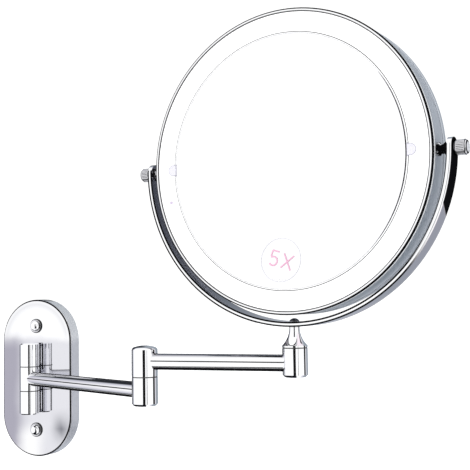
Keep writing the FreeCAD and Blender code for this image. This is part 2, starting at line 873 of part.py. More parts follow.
def make_front_trim(frames):
    """Polished front ring. Its sleeve lines the casing band and seats the light ring cover."""
    back = size.head_front - size.trim_depth
    lens_bottom = size.lens_top - size.lens_thickness
    sleeve_bottom = size.tray_floor + size.tray_thickness
    ledge = lens_bottom - 1.4
    soft = 0.7
    corners = (
        (size.lens_outer + 0.05, size.head_front - 0.3),
        (size.lens_outer + 0.35, size.head_front),
        (size.head_radius - soft, size.head_front),
        (size.head_radius, size.head_front - soft, -0.2),
        (size.head_radius, back + 0.3),
        (size.head_radius - 0.3, back),
        (size.band_inner, back),
        (size.band_inner, sleeve_bottom),
        (size.band_inner - 1.2, sleeve_bottom),
        (size.band_inner - 1.2, ledge),
        (size.band_inner - 2.3, ledge),
        (size.band_inner - 2.3, lens_bottom),
        (size.lens_outer + 0.05, lens_bottom),
    )
    body = turned("front_trim_ring", corners)
    hole = ((0.0, 0.0, size.stud_radius + 0.1),)
    cross_holes(body, "YZ_Plane", hole, size.head_radius * 2.2, midplane=True)
    return placed(frames.head, body)


def make_back_trim(frames):
    """Polished back ring, which holds the plain glass against its lip."""
    front = size.head_back + size.trim_depth - 0.1
    lip = 0.45
    glass_edge = size.band_inner - 0.9
    soft = 0.7
    corners = (
        (glass_edge - 1.6, size.head_back),
        (size.head_radius - soft, size.head_back),
        (size.head_radius, size.head_back + soft, 0.2),
        (size.head_radius, front - 0.3),
        (size.head_radius - 0.3, front),
        (size.band_inner, front),
        (size.band_inner, size.tray_floor),
        (glass_edge, size.tray_floor),
        (glass_edge, size.head_back + lip),
        (glass_edge - 1.6, size.head_back + lip),
    )
    return placed(frames.head, turned("back_trim_ring", corners))


def make_light_ring_cover(frames):
    bottom = size.lens_top - size.lens_thickness
    cover = turned_ring("light_ring_cover", size.lens_inner, size.lens_outer, bottom, size.lens_top)
    return placed(frames.head, cover)


def make_glass_bezel(frames):
    """Thin clear ring between the light ring cover and the magnifying glass."""
    bottom = size.lens_top - size.lens_thickness - 0.2
    corners = (
        (size.glass_radius + 1.0, bottom),
        (size.lens_inner - 0.05, bottom),
        (size.lens_inner - 0.05, size.lens_top - 0.15),
        (size.lens_inner - 0.25, size.lens_top + 0.05),
        (size.glass_radius + 1.2, size.lens_top + 0.05),
        (size.glass_radius + 1.0, size.lens_top - 0.15),
    )
    return placed(frames.head, turned("glass_bezel", corners))


def make_light_tray(frames):
    """Moulded tray: floor, the wall round the glass, and the ledge that the carrier rests on."""
    floor = size.tray_floor + size.tray_thickness
    wall_inner = size.glass_radius + 1.1
    wall_outer = size.glass_radius + 2.5
    wall_top = size.lens_top - size.lens_thickness - 0.2
    ledge = size.glass_radius - 1.6
    ledge_top = size.glass_ledge
    ledge_bottom = ledge_top - 1.2
    corners = (
        (0.0, size.tray_floor),
        (size.band_inner - 0.1, size.tray_floor),
        (size.band_inner - 0.1, floor),
        (wall_outer, floor),
        (wall_outer, wall_top),
        (wall_inner, wall_top),
        (wall_inner, ledge_top),
        (ledge, ledge_top),
        (ledge, ledge_bottom),
        (wall_inner, ledge_bottom - 1.2),
        (wall_inner, floor),
        (0.0, floor),
    )
    return placed(frames.head, turned("light_tray", corners))


def make_lamp_board(frames):
    bottom = size.tray_floor + size.tray_thickness
    top = bottom + size.board_thickness
    inner = size.glass_radius + 3.9
    board = turned_ring("lamp_board", inner, size.board_radius, bottom, top)
    return placed(frames.head, board)


def make_lamps(frames):
    """Small square lamps round the board, with a gap left for the tilt studs."""
    body = new_body("lamps", several=True)
    half = size.lamp_side / 2.0
    lift = size.tray_floor + size.tray_thickness + size.board_thickness
    sketch = new_sketch(body, "XY_Plane", lift)
    first_angle = math.radians(180.0 / size.lamp_count.value)
    across = size.lamp_circle * math.cos(first_angle)
    along_edge = size.lamp_circle * math.sin(first_angle)
    add_box_outline(sketch, across - half, across + half, along_edge - half, along_edge + half)
    lamp = pad(body, sketch, 1.0)
    repeated_round(body, lamp, size.lamp_count)
    return placed(frames.head, body)


def dish_depth(reach):
    """How much deeper the hollow face is in its middle than at a radius."""
    return reach * reach / (size.glass_curve * 2.0)


def make_magnifying_glass(frames):
    """Hollow-ground magnifying glass: both faces follow the same large sphere."""
    edge = size.glass_radius
    rim_back = size.glass_rim_top - size.glass_thickness
    corners = (
        (0.0, rim_back - dish_depth(edge)),
        (edge, rim_back, DOME),
        (edge, size.glass_rim_top - 0.3),
        (edge - 0.3, size.glass_rim_top),
        (0.0, size.glass_rim_top - dish_depth(edge - 0.3), DOME),
    )
    return placed(frames.head, turned("magnifying_glass", corners))


def make_glass_carrier(frames):
    """Plastic ring glued round the glass, with the two finger tabs that lift it out."""
    rim = size.glass_radius + 0.05
    outer = size.glass_radius + 0.7
    seat = size.glass_rim_top - size.glass_thickness
    inner = size.glass_radius - 6.1
    corners = (
        (inner, size.glass_ledge),
        (outer, size.glass_ledge),
        (outer, size.glass_rim_top),
        (rim, size.glass_rim_top),
        (rim, seat - 0.05),
        (inner, seat - 0.95),
    )
    body = turned("glass_carrier", corners)
    tab_radius = 4.0
    tab_reach = size.glass_radius + 2.4
    sketch = new_sketch(body, "XY_Plane", size.lens_top + 0.15)
    for side in (1.0, -1.0):
        root = (size.glass_radius + 0.1) * side
        end = tab_reach * side
        corners = (
            (root, -side * tab_radius),
            (end, -side * tab_radius),
            (end, side * tab_radius, -tab_radius),
            (root, side * tab_radius),
        )
        add_outline(sketch, corners)
    pad(body, sketch, 0.45)
    return placed(frames.head, body)


def make_sticker(frames):
    """Thin round sticker that follows the hollow of the magnifying glass."""
    reach = size.sticker_radius
    lift = dish_depth(reach)
    gap = 0.03
    top = size.sticker_thickness
    corners = (
        (0.0, gap),
        (reach, lift + gap, DOME),
        (reach, lift + top),
        (0.0, top, DOME),
    )
    sticker = turned("magnifier_sticker", corners)
    place = Vector(-5.1, -69.5, 0)
    bottom = (size.glass_rim_top - dish_depth(size.glass_radius)).value
    rise = place.Length ** 2 / (2.0 * size.glass_curve.value)
    tilt = math.degrees(math.asin(place.Length / size.glass_curve.value))
    tip_axis = Vector(0, 0, 1).cross(place).normalize()
    foot = Vector(place.x, place.y, bottom + rise)
    return placed(frames.head, sticker, foot, Rotation(tip_axis, -tilt))


def make_battery_cradle(frames):
    """Open holder for three AAA cells, glued to the tray behind the magnifying glass."""
    body = new_body("battery_cradle")
    floor = size.tray_floor + size.tray_thickness
    wall_height = 8.0
    half_length = size.cell_length / 2.0 + 3.0
    half_width = size.cell_radius * 3.0 + 1.4
    outside = new_sketch(body, "XY_Plane", floor)
    add_box_outline(outside, -half_length, half_length, -half_width, half_width)
    pad(body, outside, wall_height)
    inside = new_sketch(body, "XY_Plane", floor + 0.6)
    wall = 1.0
    inner_length = half_length - wall
    inner_width = half_width - wall
    add_box_outline(inside, -inner_length, inner_length, -inner_width, inner_width)
    pocket(body, inside, wall_height, reverse=True)
    return placed(frames.head, body, Vector(0, size.cell_height.value, 0))


def cell_rows():
    """Height and side of each of the three cells in the cradle."""
    middle = size.cell_height.value
    pitch = size.cell_radius.value * 2.0 + 0.1
    return ((middle - pitch, -1.0), (middle, 1.0), (middle + pitch, -1.0))


def make_battery_cells(frames):
    cells = []
    half = size.cell_length / 2.0
    shoulder = half - 1.2
    knob_radius = 1.9
    floor = size.tray_floor + size.tray_thickness + 0.65
    height = (floor + size.cell_radius).value
    for index, (row, side) in enumerate(cell_rows()):
        corners = (
            (0.0, -half),
            (size.cell_radius, -half),
            (size.cell_radius, shoulder),
            (knob_radius, shoulder),
            (knob_radius, half),
            (0.0, half),
        )
        cell = turned("battery_cell_%d" % index, corners)
        shift = Vector(0, row, height)
        cells.append(placed(frames.head, cell, shift, along(Vector(side, 0, 0))))
    return grouped("battery_cells", cells)


def make_battery_contacts(frames):
    """Sprung contact plates at both ends of every cell."""
    plates = []
    half = size.cell_length / 2.0
    height = (size.tray_floor + size.tray_thickness + 0.7).value
    thickness = 0.4
    width = 7.0
    gap = 0.6
    for index, (row, _) in enumerate(cell_rows()):
        for name, start in (("right", half.value + gap), ("left", -half.value - gap - thickness)):
            label = "battery_contact_%d_%s" % (index, name)
            plate = solid_box(label, (0, 0, 0), (thickness, width, 6.5))
            shift = Vector(start, row - width / 2.0, height)
            plates.append(placed(frames.head, plate, shift))
    return grouped("battery_contacts", plates)


def make_control_board(frames):
    """Touch sensor and lamp driver board on the tray floor, with three chips on it."""
    body = new_body("control_board")
    floor = size.tray_floor + size.tray_thickness
    thickness = 1.6
    board = new_sketch(body, "XY_Plane", floor)
    add_box_outline(board, -22.0, 22.0, -9.0, 9.0)
    pad(body, board, thickness)
    chips = new_sketch(body, "XY_Plane", floor + thickness)
    add_box_outline(chips, -14.0, -7.0, -4.0, 4.0)
    add_box_outline(chips, 4.0, 8.0, -3.0, 3.0)
    add_box_outline(chips, 12.0, 18.0, -5.0, 1.0)
    pad(body, chips, 1.5)
    return placed(frames.head, body, Vector(0, -48, 0))


def make_touch_switch(frames):
    """Small touch spot on the light ring cover, low on the left."""
    spot = turned_disc("touch_switch", 1.3, size.lens_top, size.lens_top + 0.2)
    return placed(frames.head, spot, Vector(-94.4, -24.0, 0))


def make_back_glass(frames):
    radius = size.band_inner - 1.1
    bottom = size.head_back + 0.5
    top = size.tray_floor - BACK_PAD
    return placed(frames.head, turned_disc("back_glass", radius, bottom, top))


def make_back_glass_pad(frames):
    """Foam tape between the plain glass and the tray."""
    bottom = size.tray_floor - BACK_PAD
    inner = size.band_inner - 23.5
    outer = size.band_inner - 5.5
    return placed(frames.head, turned_ring("back_glass_pad", inner, outer, bottom, size.tray_floor))


def both_sides(frames, label, corners):
    """The same turned piece on the left and right ends of the tilt axle."""
    members = []
    for name, side in (("right", 1.0), ("left", -1.0)):
        piece = turned("%s_%s" % (label, name), corners)
        members.append(placed(frames.head, piece, Vector(0, 0, 0), along(Vector(side, 0, 0))))
    return grouped(label, members)


def make_tilt_studs(frames):
    head_out = size.band_inner - 1.3
    head_in = head_out - 3.0
    head_radius = 4.0
    tip = knob_start() + 5.6
    corners = (
        (0.0, head_in),
        (head_radius, head_in),
        (head_radius, head_out),
        (size.stud_radius, head_out),
        (size.stud_radius, tip),
        (0.0, tip),
    )
    return both_sides(frames, "tilt_studs", corners)


def knob_start():
    return size.yoke_inner + size.yoke_thickness + size.knob_washer_thickness + 0.15


def make_tilt_spacers(frames):
    """Waisted spacers that hold the head in the middle of the yoke."""
    near = size.band_outer + 0.05
    far = size.yoke_inner - 0.2 - size.tilt_washer_thickness
    bore = size.stud_radius + 0.1
    waist = size.spacer_radius - 1.1
    corners = (
        (bore, near),
        (size.spacer_radius, near),
        (size.spacer_radius, near + 1.5),
        (waist, near + 2.3),
        (waist, far - 2.3),
        (size.spacer_radius, far - 1.5),
        (size.spacer_radius, far),
        (bore, far),
    )
    return both_sides(frames, "tilt_spacers", corners)


def make_tilt_friction_washers(frames):
    inner = size.stud_radius + 0.1
    far = size.yoke_inner - 0.2
    near = far - size.tilt_washer_thickness
    outer = size.spacer_radius
    corners = ((inner, near), (outer, near), (outer, far), (inner, far))
    return both_sides(frames, "tilt_friction_washers", corners)


def make_knob_washers(frames):
    inner = size.stud_radius + 0.1
    near = size.yoke_inner + size.yoke_thickness + 0.1
    far = near + size.knob_washer_thickness
    outer = size.knob_radius - 0.3
    corners = ((inner, near), (outer, near), (outer, far), (inner, far))
    return both_sides(frames, "knob_washers", corners)


def make_thumb_knob(label, side, frames):
    """Ridged knob with a polished domed end and a blind threaded hole."""
    start = knob_start()
    end = start + size.knob_length
    bore = size.stud_radius + size.running_clearance
    shoulder = end - 1.7
    hole_end = start + 5.8
    corners = (
        (bore, start),
        (size.knob_radius - 0.5, start),
        (size.knob_radius, start + 0.4),
        (size.knob_radius, shoulder),
        (size.knob_radius - 0.3, shoulder + 0.3),
        (size.knob_radius - 0.9, end - 0.5, -0.1),
        (0.0, end, DOME),
        (0.0, hole_end),
        (bore, hole_end),
    )
    body = turned(label, corners)
    groove_radius = 0.36
    sketch = new_sketch(body, "XY_Plane", start + 0.7)
    add_circle(sketch, size.knob_radius + 0.1, 0.0, groove_radius)
    groove = pocket(body, sketch, size.knob_length - 2.9, reverse=True)
    repeated_round(body, groove, size.knob_ridges)
    return placed(frames.head, body, Vector(0, 0, 0), along(Vector(side, 0, 0)))


# ---------------------------------------------------------------- the whole mirror

def build_mirror():
    fill_sheet()
    frames = Frames()
    return [
        make_wall_plate(),
        make_wall_screws(),
        make_screw_washers(),
        make_fixed_knuckle("hinge_knuckle_upper", 1, frames),
        make_fixed_knuckle("hinge_knuckle_lower", -1, frames),
        make_bracket_screws(),
        make_hinge_pin(frames),
        make_hinge_washers(frames),
        make_hinge_caps(frames),
        make_moving_knuckle(frames),
        make_arm_tube("lower_arm_tube", frames.lower_arm, size.lower_arm_length, 0.0),
        make_elbow_lower_barrel(frames),
        make_elbow_cap(frames),
        make_elbow_washer(frames),
        make_elbow_upper_barrel(frames),
        make_elbow_pin(frames),
        make_elbow_spring_washer(frames),
        make_arm_tube("upper_arm_tube", frames.upper_arm, size.upper_arm_length, size.arm_rise),
        make_swivel_barrel(frames),
        make_swivel_cap(frames),
        make_swivel_washer(frames),
        make_swivel_neck(frames),
        make_swivel_screw(frames),
        make_swivel_lock_washer(frames),
        make_yoke(frames),
        make_yoke_screw(frames),
        make_casing_band(frames),
        make_front_trim(frames),
        make_back_trim(frames),
        make_light_ring_cover(frames),
        make_glass_bezel(frames),
        make_light_tray(frames),
        make_lamp_board(frames),
        make_lamps(frames),
        make_battery_cradle(frames),
        make_battery_cells(frames),
        make_battery_contacts(frames),
        make_control_board(frames),
        make_touch_switch(frames),
        make_back_glass(frames),
        make_back_glass_pad(frames),
        make_tilt_studs(frames),
        make_tilt_spacers(frames),
        make_tilt_friction_washers(frames),
        make_knob_washers(frames),
        make_magnifying_glass(frames),
        make_glass_carrier(frames),
        make_sticker(frames),
        make_thumb_knob("thumb_knob_right", 1, frames),
        make_thumb_knob("thumb_knob_left", -1, frames),
    ]


def check_document(pieces):
    for item in document.Objects:
        if "Invalid" in item.State or "Error" in item.State:
            raise RuntimeError("failed object: %s %s" % (item.Label, item.State))
    for piece in pieces:
        if piece.Shape.isNull() or not piece.Shape.isValid():
            raise RuntimeError("bad shape: " + piece.Label)


def write_parts(pieces):
    os.makedirs("parts", exist_ok=True)
    for piece in pieces:
        piece.Shape.exportStep(os.path.join("parts", piece.Label + ".step"))
        print("%-26s %9.1f mm3" % (piece.Label, piece.Shape.Volume))


mirror = build_mirror()
document.recompute()
check_document(mirror)
write_parts(mirror)
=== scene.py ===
"""Looks of the extendable shaving mirror: materials, the magnifier's mark, studio and camera."""

import math

import bmesh
import bpy
from mathutils import Matrix, Vector
from mathutils.bvhtree import BVHTree


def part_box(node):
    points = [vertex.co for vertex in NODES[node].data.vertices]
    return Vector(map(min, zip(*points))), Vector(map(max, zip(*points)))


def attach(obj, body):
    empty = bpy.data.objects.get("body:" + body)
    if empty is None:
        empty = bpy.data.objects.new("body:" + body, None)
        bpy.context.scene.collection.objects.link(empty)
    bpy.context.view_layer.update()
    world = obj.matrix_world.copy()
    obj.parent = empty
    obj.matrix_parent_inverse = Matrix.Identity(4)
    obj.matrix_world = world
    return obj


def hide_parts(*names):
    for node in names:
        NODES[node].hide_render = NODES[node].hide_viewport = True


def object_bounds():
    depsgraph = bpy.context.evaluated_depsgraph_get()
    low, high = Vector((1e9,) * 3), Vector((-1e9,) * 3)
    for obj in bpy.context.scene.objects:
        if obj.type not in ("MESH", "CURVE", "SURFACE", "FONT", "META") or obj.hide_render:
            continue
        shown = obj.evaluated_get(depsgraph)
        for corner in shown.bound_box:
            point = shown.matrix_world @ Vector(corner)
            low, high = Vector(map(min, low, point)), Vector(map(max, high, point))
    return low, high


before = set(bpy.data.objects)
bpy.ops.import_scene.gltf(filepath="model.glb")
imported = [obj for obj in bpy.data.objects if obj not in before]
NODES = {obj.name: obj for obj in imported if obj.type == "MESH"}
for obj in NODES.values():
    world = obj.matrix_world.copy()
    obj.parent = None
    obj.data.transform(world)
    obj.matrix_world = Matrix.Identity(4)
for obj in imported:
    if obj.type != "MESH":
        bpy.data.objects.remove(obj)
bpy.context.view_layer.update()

MM = 0.001

# Where the camera stands, seen from the point that it looks at.
CAMERA_TARGET = Vector((258.16, -150.0, 108.98)) * MM
CAMERA_AZIMUTH = math.radians(24.63)
CAMERA_ELEVATION = math.radians(-3.58)
CAMERA_ROLL = math.radians(-0.91)
CAMERA_DISTANCE = 638.8 * MM
CAMERA_SENSOR = 36.0
CAMERA_LENS = 74.82

# The head's own directions: along the tilt axle, up, and out of the magnifying glass.
HEAD_TURN = math.radians(-4.8)
AXLE = Vector((math.cos(HEAD_TURN), math.sin(HEAD_TURN), 0.0))
UP = Vector((0.0, 0.0, 1.0))
FRONT = AXLE.cross(UP)

# Sizes that a node's box doesn't give.
GLASS_CURVE = 640 * MM
GLASS_THICKNESS = 2.2 * MM
TAB_MIDDLE = 92.5 * MM
TAB_RADIUS = 4.0 * MM
YOKE_THICKNESS = 3.6 * MM


def reach(node, direction):
    """How far a node reaches along a direction, at its near end and at its far end."""
    along = [vertex.co.dot(direction) for vertex in NODES[node].data.vertices]
    return min(along), max(along)


def middle(node):
    """The middle of a node's box."""
    low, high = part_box(node)
    return (low + high) / 2


def half_height(node):
    """Half a node's height, which is a round node's radius."""
    low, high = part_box(node)
    return (high.z - low.z) / 2


HEAD_CENTRE = middle("tilt_studs")


def head_reach(node, direction):
    """How far the far end of a node is from the head's middle, along a direction."""
    return reach(node, direction)[1] - HEAD_CENTRE.dot(direction)


def head_frame(origin):
    """A frame at origin that lies across the head, up it and out of its front."""
    matrix = Matrix((AXLE, UP, FRONT)).transposed().to_4x4()
    matrix.translation = origin
    return matrix


# ------------------------------------------------------------------ node trees


class Graph:
    """A node tree, with a short call for each kind of node that is used here."""

    def __init__(self, owner):
        owner.use_nodes = True
        self.tree = owner.node_tree
        self.tree.nodes.clear()

    def add(self, kind, **settings):
        node = self.tree.nodes.new("ShaderNode" + kind)
        for name, value in settings.items():
            setattr(node, name, value)
        return node

    def feed(self, socket, value):
        """Links a socket, or sets it where the value is a number or a colour."""
        if isinstance(value, bpy.types.NodeSocket):
            self.tree.links.new(value, socket)
        else:
            socket.default_value = value

    def math(self, operation, *values):
        node = self.add("Math", operation=operation)
        for socket, value in zip(node.inputs, values):
            self.feed(socket, value)
        return node.outputs[0]

    def dot(self, vector, direction):
        node = self.add("VectorMath", operation="DOT_PRODUCT")
        self.feed(node.inputs[0], vector)
        self.feed(node.inputs[1], tuple(direction))
        return node.outputs["Value"]

    def slope(self, value, low, high, start=0.0, end=1.0):
        """Runs smoothly from start to end while value runs from low to high."""
        node = self.add("MapRange", interpolation_type="SMOOTHSTEP")
        for name, number in (
            ("Value", value),
            ("From Min", low),
            ("From Max", high),
            ("To Min", start),
            ("To Max", end),
        ):
            self.feed(node.inputs[name], number)
        return node.outputs["Result"]

    def band(self, value, centre, half, soft):
        """One where value is within half of centre, and none outside, with a soft edge."""
        away = self.math("ABSOLUTE", self.math("SUBTRACT", value, centre))
        return self.slope(away, half + soft, half - soft)

    def both(self, first, *others):
        for other in others:
            first = self.math("MULTIPLY", first, other)
        return first

    def either(self, first, *others):
        for other in others:
            first = self.math("MAXIMUM", first, other)
        return first

    def hypotenuse(self, first, second):
        """How far apart two points are, from two lengths at right angles."""
        squares = self.math("ADD", self.both(first, first), self.both(second, second))
        return self.math("SQRT", squares)

    def mix(self, share, first, second):
        node = self.add("Mix", data_type="RGBA")
        self.feed(node.inputs["Factor"], share)
        self.feed(node.inputs[6], first)
        self.feed(node.inputs[7], second)
        return node.outputs[2]

    def place(self):
        """A point's place in the frame, in metres. The pieces all have their origin at the frame's."""
        return self.add("TexCoord").outputs["Object"]

    def parts(self, vector):
        """The three parts of a vector: east, north and up."""
        node = self.add("SeparateXYZ")
        self.feed(node.inputs[0], vector)
        return node.outputs

    def noise(self, scale, detail=2.0, stretch=(1.0, 1.0, 1.0)):
        """Even noise, drawn out along the axes whose stretch is small."""
        mapping = self.add("Mapping")
        self.feed(mapping.inputs["Vector"], self.place())
        self.feed(mapping.inputs["Scale"], stretch)
        node = self.add("TexNoise")
        self.feed(node.inputs["Vector"], mapping.outputs[0])
        self.feed(node.inputs["Scale"], scale)
        self.feed(node.inputs["Detail"], detail)
        return node.outputs["Fac"]

    def head_place(self):
        """Distance from the head's axis, distance out of its front, then place across and up it."""
        offset = self.add("VectorMath", operation="SUBTRACT")
        self.feed(offset.inputs[0], self.place())
        self.feed(offset.inputs[1], tuple(HEAD_CENTRE))
        across = self.dot(offset.outputs[0], AXLE)
        height = self.dot(offset.outputs[0], UP)
        depth = self.dot(offset.outputs[0], FRONT)
        return self.hypotenuse(across, height), depth, across, height

    def openness_for_painted_shade(self, distance):
        """How open a point is, for painted shade: one in the open, and less where other pieces stand close.
        """
        node = self.add("AmbientOcclusion", samples=8)
        self.feed(node.inputs["Distance"], distance)
        return node.outputs["AO"]

    def bump(self, height, distance):
        node = self.add("Bump")
        self.feed(node.inputs["Height"], height)
        self.feed(node.inputs["Distance"], distance)
        self.feed(node.inputs["Strength"], 1.0)
        return node.outputs["Normal"]

    def surface(self, shader):
        self.feed(self.add("OutputMaterial").inputs["Surface"], shader)


def grey(value):
    return (value, value, value, 1.0)


def principled(graph, **values):
    """A Principled shader whose sockets are set by name, with spaces as underscores."""
    shader = graph.add("BsdfPrincipled")
    for name, value in values.items():
        graph.feed(shader.inputs[name.replace("_", " ")], value)
    return shader.outputs[0]


def new_material(name):
    material = bpy.data.materials.new(name)
    return material, Graph(material)


# ------------------------------------------------------------------- materials

CHROME_COLOUR = (0.93, 0.935, 0.95, 1.0)
# Painted black for the dark lines painted on chrome: painted reflections of the dark room and painted shade
# in gaps.
PAINTED_DARK_LINE_COLOUR = (0.004, 0.004, 0.005, 1.0)


def chrome(name, tint=CHROME_COLOUR, wave=0.000012, lines=None, white=None, close=3 * MM):
    """Bright chrome plate: faint polishing waves, a faint haze, and painted shade where pieces stand close.

    lines(graph, colour) gives the colour with its painted reflections and painted shades, and the share
    that is painted dark line.
    white(graph) gives the share that is painted with the tent's white, as a painted reflection, whichever
    way it is seen."""
    material, graph = new_material(name)
    haze = graph.slope(graph.noise(140.0, 4.0), 0.35, 0.75, 0.018, 0.05)
    dim = tuple(channel * 0.93 for channel in tint[:3]) + (1.0,)
    colour = graph.mix(graph.slope(graph.noise(38.0, 3.0), 0.55, 0.8), tint, dim)
    # Painted shade: the colour darkens where other pieces stand within close of it.
    if close:
        colour = graph.mix(graph.slope(graph.openness_for_painted_shade(close), 0.15, 0.75), grey(0.12), colour)
    metal = 1.0
    gloss = 0.5
    if lines:
        # Painted reflections and painted shade: the lines are painted black, and there the chrome is not
        # metallic.
        colour, line = lines(graph, colour)
        colour = graph.mix(line, colour, PAINTED_DARK_LINE_COLOUR)
        metal = graph.math("SUBTRACT", 1.0, line)
        gloss = graph.both(metal, gloss)
    # Painted reflection: where white is painted, the chrome is not metallic, so the tent lights its pale
    # colour.
    if white:
        metal = graph.both(metal, graph.math("SUBTRACT", 1.0, white(graph)))
    graph.surface(
        principled(
            graph,
            Base_Color=colour,
            Metallic=metal,
            Specular_IOR_Level=gloss,
            Roughness=haze,
            Normal=graph.bump(graph.noise(55.0, 1.0), wave),
        )
    )
    return material


def tube_lines(graph, colour):
    """Painted reflections of the room's horizon along a level tube: painted grey above, a thin painted
    black line, and painted black below.
    """
    _, _, up = graph.parts(graph.place())
    line, shade = 0.0, 0.0
    for node in ("lower_arm_tube", "upper_arm_tube"):
        half = half_height(node)
        level = graph.math("SUBTRACT", up, middle(node).z)
        near = graph.slope(graph.math("ABSOLUTE", level), half * 1.3, half * 1.2)
        black = graph.either(
            graph.band(level, half * 0.13, half * 0.07, half * 0.03),
            graph.slope(level, -half * 0.50, -half * 0.66),
            graph.slope(level, half * 0.90, half * 0.97),
        )
        over = graph.slope(level, half * 0.50, half * 0.85)
        line = graph.either(line, graph.both(black, near))
        shade = graph.either(shade, graph.both(over, near))
    # Painted reflection: grey painted over the upper part of each tube.
    colour = graph.mix(graph.both(shade, 0.7), colour, (0.30, 0.30, 0.34, 1.0))
    return colour, line


def trim_size():
    """The front trim's outer radius, then how far out its front is and the seam behind it."""
    front = head_reach("front_trim_ring", FRONT)
    return half_height("front_trim_ring"), front, head_reach("casing_band", FRONT)


def trim_lines(graph, colour):
    """The front trim's painted dark lines: painted shade inside its lip and at the seam behind it, and a
    painted reflection round its front corner.
    """
    radius, depth, _, _ = graph.head_place()
    outer, front, seam_depth = trim_size()
    corner = graph.both(
        graph.slope(radius, outer - 1.15 * MM, outer - 0.95 * MM),
        graph.slope(depth, front - 2.1 * MM, front - 1.8 * MM),
    )
    lip = graph.slope(radius, outer - 1.9 * MM, outer - 2.15 * MM)
    seam = graph.slope(depth, seam_depth + 1.0 * MM, seam_depth + 0.6 * MM)
    return colour, graph.either(graph.both(lip, 0.9), corner, graph.both(seam, 0.9))


def trim_white(graph):
    """Painted reflection: the trim's rounded side is painted with the tent's white between its dark corner
    and its seam.
    """
    radius, depth, _, _ = graph.head_place()
    outer, front, seam_depth = trim_size()
    side = graph.both(
        graph.slope(depth, front - 1.9 * MM, front - 2.2 * MM),
        graph.slope(depth, seam_depth + 0.8 * MM, seam_depth + 1.2 * MM),
        graph.slope(radius, outer - 0.6 * MM, outer - 0.3 * MM),
    )
    return graph.both(side, 0.85)


def yoke_size():
    """The yoke's outer radius, how far its arc's middle is above the axle, and half its width."""
    outer = head_reach("yoke", AXLE)
    lift = outer - (HEAD_CENTRE.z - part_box("yoke")[0].z)
    return outer, lift, head_reach("yoke", FRONT)


def yoke_lines(graph, colour):
    """The yoke's painted dark lines along its edges, and the deep black painted reflection down its outer
    face below each pivot, with painted shade inside its left half and a pale painted reflection along its
    rim.
    """
    outer, lift, half = yoke_size()
    inner = outer - YOKE_THICKNESS
    _, depth, across, height = graph.head_place()
    rise = graph.math("SUBTRACT", height, lift)
    radius = graph.hypotenuse(across, rise)
    face = graph.slope(graph.math("ABSOLUTE", depth), half - 0.6 * MM, half - 0.3 * MM)
    right = graph.slope(across, 0.72 * outer, 0.90 * outer)
    left = graph.math("SUBTRACT", 1.0, right)
    edge = graph.either(
        graph.slope(radius, inner + 0.75 * MM, inner + 0.55 * MM),
        graph.both(graph.band(radius, inner + 2.45 * MM, 0.2 * MM, 0.15 * MM), right, 0.8),
        graph.both(graph.slope(radius, inner + 1.30 * MM, inner + 1.10 * MM), left),
        graph.both(graph.slope(radius, outer - 1.25 * MM, outer - 1.05 * MM), left),
    )
    rim = graph.slope(radius, outer - 0.35 * MM, outer - 0.15 * MM)
    lean = 0.53
    slant = graph.math("SUBTRACT", height, graph.both(depth, lean))
    deep = graph.both(rim, graph.slope(slant, -0.35 * outer, -0.335 * outer))
    inside = graph.slope(radius, inner + 0.3 * MM, inner + 0.1 * MM)
    shade = graph.both(inside, graph.slope(across, 0.0, -0.2 * outer))
    # Painted shade along the inside of the yoke's left half.
    colour = graph.mix(graph.both(shade, 0.8), colour, (0.13, 0.12, 0.16, 1.0))
    # Painted reflection: a pale pinkish tint along the outer rim.
    colour = graph.mix(graph.both(rim, 0.8), colour, (0.95, 0.84, 0.90, 1.0))
    return colour, graph.either(graph.both(face, edge), deep)


def knob_place(graph):
    """How far a point is out along the tilt axle from the head's middle, and off that axle."""
    _, depth, across, height = graph.head_place()
    return graph.math("ABSOLUTE", across), graph.hypotenuse(height, depth)


def knob_end():
    """Where the right knob's domed end is along the axle, and the knob's radius."""
    return head_reach("thumb_knob_right", AXLE), half_height("thumb_knob_right")


def knurl_lines(graph, colour):
    """A knob's grooves with painted shade darkening them towards their roots, and a painted dark reflection
    line round its domed end.
    """
    along, radius = knob_place(graph)
    tip, half = knob_end()
    side = graph.slope(along, tip - 1.7 * MM, tip - 2.0 * MM)
    groove = graph.both(side, graph.slope(radius, half - 0.02 * MM, half - 0.3 * MM))
    ring = graph.either(
        graph.both(
            graph.slope(along, tip - 0.9 * MM, tip - 0.6 * MM),
            graph.slope(radius, half - 2.2 * MM, half - 1.5 * MM),
        ),
        graph.band(along, tip - 1.6 * MM, 0.25 * MM, 0.15 * MM),
    )
    return colour, graph.either(graph.both(groove, 0.9), ring)


def knob_white(graph):
    """Painted highlight: the middle of a knob's domed end is painted with the tent's white."""
    along, radius = knob_place(graph)
    tip, half = knob_end()
    dome = graph.both(
        graph.slope(along, tip - 0.9 * MM, tip - 0.6 * MM),
        graph.slope(radius, half - 1.5 * MM, half - 2.2 * MM),
    )
    return graph.both(dome, 0.8)


